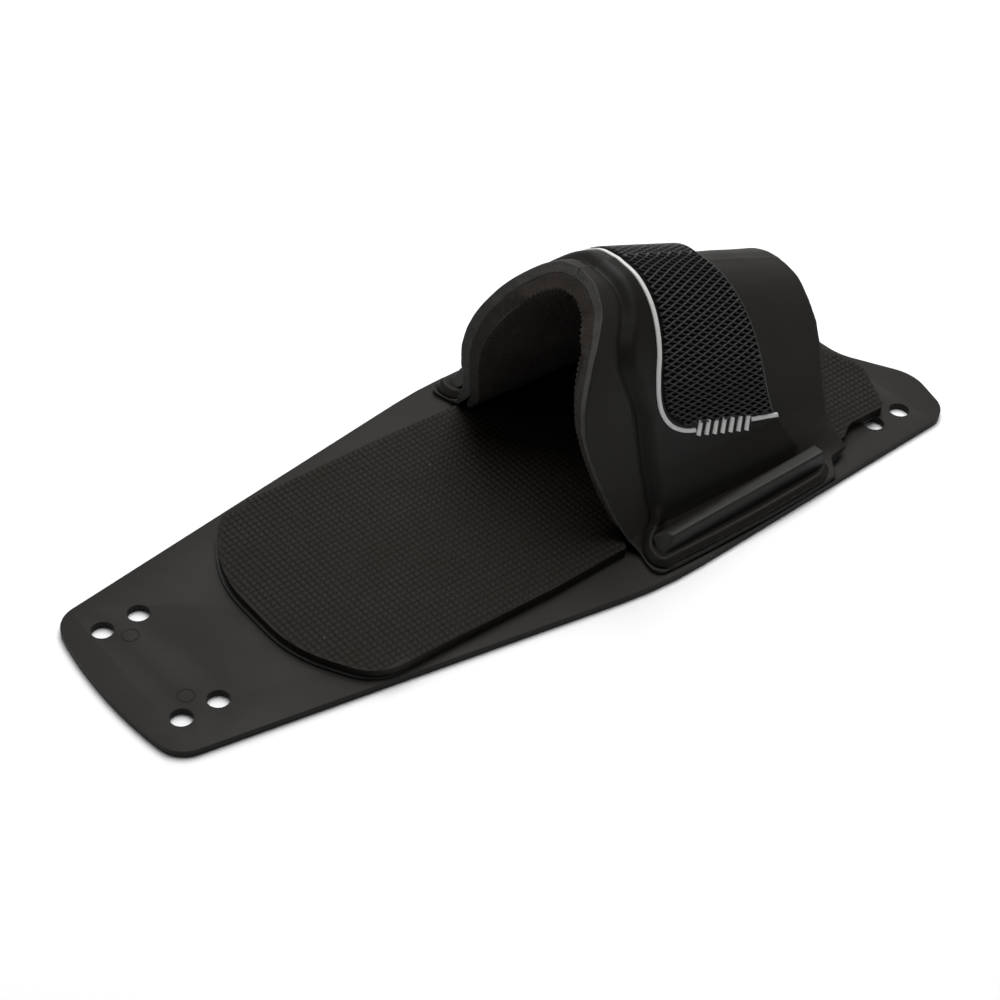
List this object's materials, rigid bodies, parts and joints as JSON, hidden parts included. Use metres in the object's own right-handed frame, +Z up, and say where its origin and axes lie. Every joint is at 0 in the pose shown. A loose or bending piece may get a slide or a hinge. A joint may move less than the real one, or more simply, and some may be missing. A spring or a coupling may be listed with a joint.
{
  "type": "rear toe plate water ski binding",
  "caption": "Flexible toe loop clamped by side rails to a thin tapered plate with a textured foot pad; the rear foot slides into the loop when water skiing",
  "frame": {"origin": "middle of the plate's flat underside, which lies on the ski", "axes": "+Z up from the plate, +Y the way the toes point and the plate's length, +X across to the right"},
  "size_m": [0.1226, 0.3107, 0.0838],
  "materials": {
    "plate_nylon": "matte",
    "backing_film": "matte",
    "pad_foam": "matte",
    "inner_foam": "matte",
    "outer_neoprene": "matte",
    "overlay_rubber": "matte",
    "grip_rubber": "matte",
    "accent_ink": "satin",
    "rail_nylon": "satin",
    "screw_steel": "satin"
  },
  "bodies": {
    "root": {"base_plate": "plate_nylon", "pad_backing": "backing_film", "foot_pad": "pad_foam", "liner_outer": "outer_neoprene", "liner_inner": "inner_foam", "overlay": "overlay_rubber", "grip_panel": "grip_rubber", "accent_strip": "accent_ink", "rail_left": "rail_nylon", "rail_right": "rail_nylon", "rail_screw_left_1": "screw_steel", "rail_screw_left_2": "screw_steel", "rail_screw_left_3": "screw_steel", "rail_screw_left_4": "screw_steel", "rail_screw_right_1": "screw_steel", "rail_screw_right_2": "screw_steel", "rail_screw_right_3": "screw_steel", "rail_screw_right_4": "screw_steel"}
  },
  "joints": []
}
